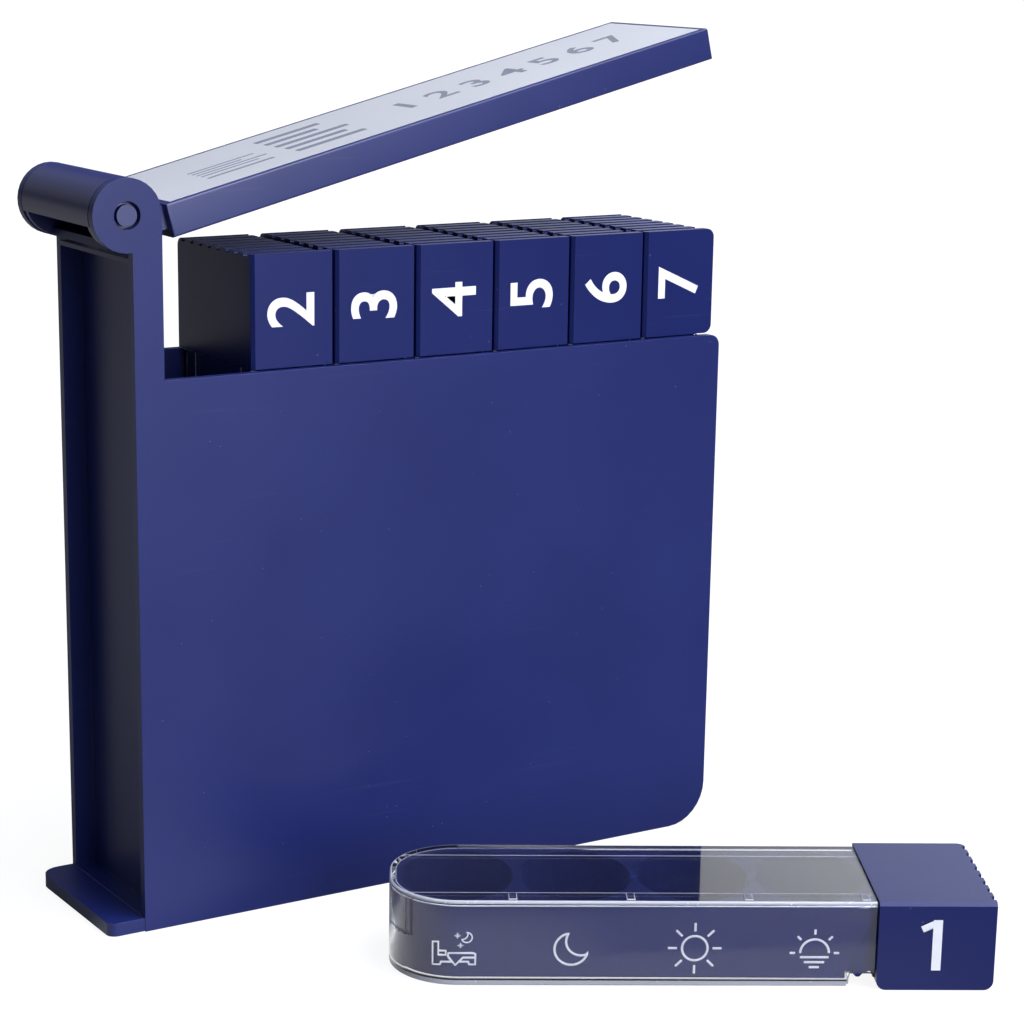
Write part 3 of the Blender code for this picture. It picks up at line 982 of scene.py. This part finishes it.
def labelMarks():
    marks = []
    top = lid["labelTop"]
    thick = label["thickness"]
    for startX, endX, y, tall in label["fineBars"] + label["wideBars"]:
        low = (startX * mm, y * mm, top)
        bar = startBlock("bar", low, (endX * mm, (y + tall) * mm, top + thick))
        marks.append(roundEdges(bar, lambda a, b: abs(a.z - b.z) > thick / 2, 0.3 * mm, 2))
    settle()
    bpy.ops.object.text_add(location=(label["numbersPlace"], 0, top + thick / 2))
    words = bpy.context.object
    words.data.body = "1 2 3 4 5 6 7"
    words.data.size = label["numbersSize"]
    words.data.extrude = thick / 2
    words.data.offset = label["bold"]
    words.data.align_x = "CENTER"
    words.data.align_y = "CENTER"
    bpy.ops.object.convert(target="MESH")
    marks.append(applyPlace(words))
    return joinPieces(marks, "labelMarks")


printed = labelMarks()
printed.matrix_world = lidPlace()
dress(applyPlace(printed), greyInk, "lid")
print("lid and label done")


# Floor, lamps and camera

studio = {
    "floorSize": 60.0,
    "floorColour": (0.13, 0.133, 0.142),
    "floorLift": 0.90,
    # The floor's glow strengths below are emission seen only in reflections: painted reflection
    "floorReflectedGlow": 0.10,
    "nearReflectedGlow": 0.85,
    "nearTurn": 30.3,
    "nearDepth": (-0.140, -0.115, -0.060, -0.045),
    "nearWidth": (0.140, 0.110),
    "behindReflectedGlow": 0.14,
    "behindFloor": (0.1, 0.4),
    "whiteFrom": 0.45,
    "whiteTo": 1.1,
    "tint": (0.90, 0.93, 1.0),
    "worldLight": 0.09,
    "behindGlow": 1.5,
    "ceilingGlow": 1.0,
    "zenithGlow": 4.5,
    "backLeftGlow": 0.30,
    "behind": (0.0, 0.5),
    "aside": (0.42, 0.68),
    "above": (0.40, 0.75),
    "leftward": (0.15, -0.25),
    "overhead": (0.80, 0.93),
    "rising": (0.04, 0.20),
    "backLeft": (0.32, 0.12),
}
softbox = {"place": (0.06, -1.10, 0.36), "target": (0, 0, 0.13), "size": (0.66, 0.72), "power": 10.0}
keyLamp = {"place": (0.55, -1.00, 1.35), "target": (0, 0, 0.08), "size": (1.0, 1.0), "power": 23.0}
topLamp = {"place": (0.45, -0.25, 1.30), "target": (0.02, -0.06, 0.08), "size": (0.6, 0.6), "power": 11.0}

view = {
    "place": (-0.29138, -0.50628, 0.21070),
    "yaw": math.radians(32.186),
    "pitch": math.radians(14.058),
    "roll": math.radians(0.878),
    "lens": 92.18,
    "shift": (0.01078, 0.07407),
}


def sightMasks(tree):
    # One mask for what the camera sees, straight or through the clear plastic,
    # and one for what its reflections find
    rays = tree.nodes.new("ShaderNodeLightPath")
    turned = mathNode(tree, "ADD", rays.outputs["Diffuse Depth"], rays.outputs["Glossy Depth"])
    straight = rangeNode(tree, turned, 0.0, 1.0, 1.0, 0.0)
    through = mathNode(tree, "MULTIPLY", rays.outputs["Is Transmission Ray"], straight)
    seen = mathNode(tree, "MAXIMUM", rays.outputs["Is Camera Ray"], through)
    clean = rangeNode(tree, rays.outputs["Diffuse Depth"], 0.0, 1.0, 1.0, 0.0)
    either = mathNode(tree, "MAXIMUM", rays.outputs["Is Glossy Ray"], rays.outputs["Is Transmission Ray"])
    return seen, mathNode(tree, "MULTIPLY", either, clean)


def makeFloor():
    # In reflections the floor glows dimly, brighter in a strip before the lying tray and a little behind: painted
    # reflection, a glow that is no lamp
    settle()
    bpy.ops.mesh.primitive_plane_add(size=studio["floorSize"], location=(0, 0, -0.02 * mm))
    floor = bpy.context.object
    floor.name = "floor"
    made, tree, shader = newMaterial("white floor")
    shader.inputs["Roughness"].default_value = 0.8
    shader.inputs["Emission Color"].default_value = (1, 1, 1, 1)
    away = tree.nodes.new("ShaderNodeVectorMath")
    away.operation = "LENGTH"
    tree.links.new(objectPlace(tree), away.inputs[0])
    far = rangeNode(tree, away.outputs["Value"], studio["whiteFrom"], studio["whiteTo"])
    tree.links.new(mixColours(tree, far, studio["floorColour"], (0.0, 0.0, 0.0)), shader.inputs["Base Color"])
    whole = rangeNode(tree, far, 0.0, 1.0, studio["floorLift"], 1.0)
    seen, mirrored = sightMasks(tree)
    turned = tree.nodes.new("ShaderNodeSeparateXYZ")
    tree.links.new(objectPlace(tree, (0, 0, studio["nearTurn"])), turned.inputs["Vector"])
    d0, d1, d2, d3 = studio["nearDepth"]
    nearEdge = rangeNode(tree, turned.outputs["Y"], d0, d1)
    farEdge = rangeNode(tree, turned.outputs["Y"], d3, d2)
    strip = mathNode(tree, "MULTIPLY", nearEdge, farEdge)
    strip = mathNode(tree, "MULTIPLY", strip, rangeNode(tree, turned.outputs["X"], *studio["nearWidth"]))
    straightOn = tree.nodes.new("ShaderNodeSeparateXYZ")
    tree.links.new(objectPlace(tree), straightOn.inputs["Vector"])
    # Emission that only reflections see, strongest in the strip: painted reflection
    dim = studio["floorReflectedGlow"]
    behind = rangeNode(tree, straightOn.outputs["Y"], *studio["behindFloor"], dim, dim + studio["behindReflectedGlow"])
    gloss = mathNode(tree, "MAXIMUM", mathNode(tree, "MULTIPLY", strip, studio["nearReflectedGlow"]), behind)
    shown = mathNode(tree, "MAXIMUM", seen, mathNode(tree, "MULTIPLY", mirrored, gloss))
    lift = mathNode(tree, "MULTIPLY", shown, whole)
    tree.links.new(lift, shader.inputs["Emission Strength"])
    floor.data.materials.append(made)


def makeWorld():
    # White to the camera and through the clear plastic. Reflections find their own glow: past white
    # behind at the right and overhead, dimmer at the left, and faint elsewhere
    world = bpy.data.worlds.new("studio")
    bpy.context.scene.world = world
    world.use_nodes = True
    tree = world.node_tree
    back = tree.nodes["Background"]
    seen, mirrored = sightMasks(tree)
    place = tree.nodes.new("ShaderNodeTexCoord")
    apart = tree.nodes.new("ShaderNodeSeparateXYZ")
    tree.links.new(place.outputs["Generated"], apart.inputs["Vector"])

    def patch(glow, *parts):
        share = parts[0]
        for part in parts[1:]:
            share = mathNode(tree, "MULTIPLY", share, part)
        return mathNode(tree, "MULTIPLY", share, studio[glow])

    along, across, height = (apart.outputs[axis] for axis in ("X", "Y", "Z"))
    behind = rangeNode(tree, across, *studio["behind"])
    wall = patch("behindGlow", behind, rangeNode(tree, along, *studio["aside"]))
    above = rangeNode(tree, height, *studio["above"])
    ceiling = patch("ceilingGlow", above, rangeNode(tree, along, *studio["leftward"]))
    zenith = patch("zenithGlow", rangeNode(tree, height, *studio["overhead"]))
    rising = rangeNode(tree, height, *studio["rising"])
    backLeft = patch("backLeftGlow", behind, rising, rangeNode(tree, along, *studio["backLeft"]))
    gloss = wall
    for glow in (ceiling, zenith, backLeft):
        gloss = mathNode(tree, "MAXIMUM", gloss, glow)
    bright = mathNode(tree, "MAXIMUM", seen, mathNode(tree, "MULTIPLY", mirrored, gloss))
    tree.links.new(mixColours(tree, seen, studio["tint"], (1.0, 1.0, 1.0)), back.inputs["Color"])
    tree.links.new(mathNode(tree, "MAXIMUM", bright, studio["worldLight"]), back.inputs["Strength"])


def addLamp(name, lampPlan):
    settle()
    bpy.ops.object.light_add(type="AREA", location=lampPlan["place"])
    lamp = bpy.context.object
    lamp.name = name
    lamp.data.shape = "RECTANGLE"
    lamp.data.size, lamp.data.size_y = lampPlan["size"]
    lamp.data.energy = lampPlan["power"]
    lamp.data.color = studio["tint"]
    ahead = Vector(lampPlan["target"]) - Vector(lampPlan["place"])
    lamp.rotation_euler = ahead.to_track_quat("-Z", "Y").to_euler()


def addCamera():
    yaw, pitch, roll = view["yaw"], view["pitch"], view["roll"]
    ahead = Vector((math.sin(yaw) * math.cos(pitch), math.cos(yaw) * math.cos(pitch), -math.sin(pitch)))
    flat = Vector((math.cos(yaw), -math.sin(yaw), 0))
    upright = flat.cross(ahead)
    right = math.cos(roll) * flat + math.sin(roll) * upright
    up = -math.sin(roll) * flat + math.cos(roll) * upright
    settle()
    bpy.ops.object.camera_add(location=view["place"])
    camera = bpy.context.object
    camera.name = "camera"
    turn = Matrix((right, up, -ahead)).transposed().to_4x4()
    camera.matrix_world = Matrix.Translation(view["place"]) @ turn
    camera.data.sensor_width = 36.0
    camera.data.lens = view["lens"]
    camera.data.shift_x, camera.data.shift_y = view["shift"]
    camera.data.clip_start = 0.01
    camera.data.clip_end = 100.0
    bpy.context.scene.camera = camera


makeFloor()
makeWorld()
addLamp("softbox", softbox)
addLamp("keyLamp", keyLamp)
addLamp("topLamp", topLamp)
addCamera()
bpy.context.scene.view_settings.view_transform = "Standard"
settle()
print("studio ready")
